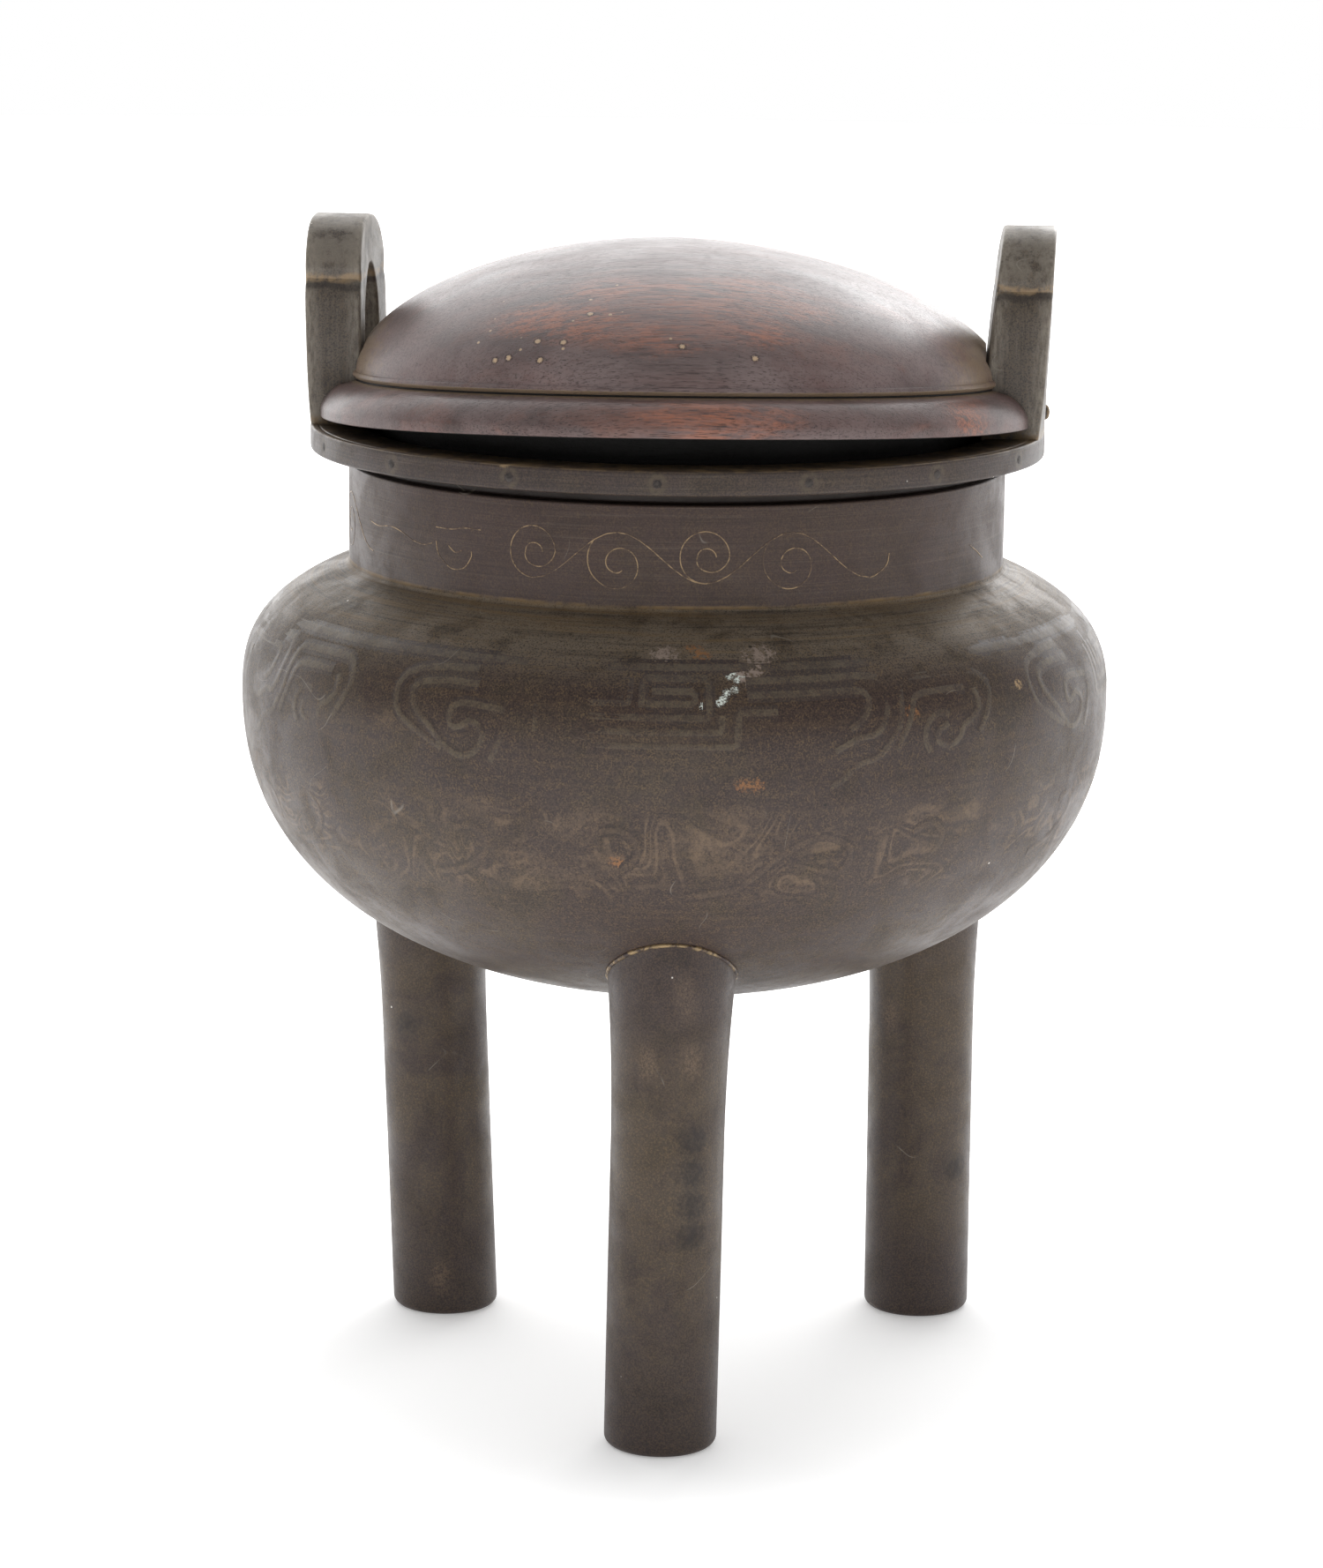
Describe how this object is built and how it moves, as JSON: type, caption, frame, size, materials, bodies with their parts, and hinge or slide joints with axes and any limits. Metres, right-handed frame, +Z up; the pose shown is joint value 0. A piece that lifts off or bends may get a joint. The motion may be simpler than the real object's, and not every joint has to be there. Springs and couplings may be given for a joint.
{
  "type": "tripod censer",
  "caption": "Round bronze tripod censer with a sleeve neck, flat rim, upright loop ears and a turned wooden lid that lifts off.",
  "frame": {"origin": "on the floor under the bowl's axis", "axes": "+Z up, front leg towards -Y, ears to the left (-X) and right (+X)"},
  "size_m": [0.16, 0.16, 0.2143],
  "materials": {
    "bronze": "dark patinated bronze, satin, worn",
    "braze": "bright rubbed braze",
    "pins": "dark, dull",
    "wood": "waxed dark hardwood with open pores"
  },
  "bodies": {
    "vessel": {"bowl": "bronze", "rim_band": "bronze", "rim_pin_01": "pins", "rim_pin_02": "pins", "rim_pin_03": "pins", "rim_pin_04": "pins", "rim_pin_05": "pins", "rim_pin_06": "pins", "rim_pin_07": "pins", "rim_pin_08": "pins", "rim_pin_09": "pins", "rim_pin_10": "pins", "rim_pin_11": "pins", "rim_pin_12": "pins", "rim_pin_13": "pins", "rim_pin_14": "pins", "rim_pin_15": "pins", "rim_pin_16": "pins", "right_ear": "bronze", "right_ear_rivet": "pins", "left_ear": "bronze", "left_ear_rivet": "pins", "front_leg": "bronze", "front_leg_seam": "braze", "rear_left_leg": "bronze", "rear_left_leg_seam": "braze", "rear_right_leg": "bronze", "rear_right_leg_seam": "braze"},
    "lid": {"lid": "wood"}
  },
  "joints": [
    {"name": "lid_lift", "type": "slide", "parent": "vessel", "child": "lid", "axis": [0, 0, 1], "range_m": [0, 0.06]}
  ]
}
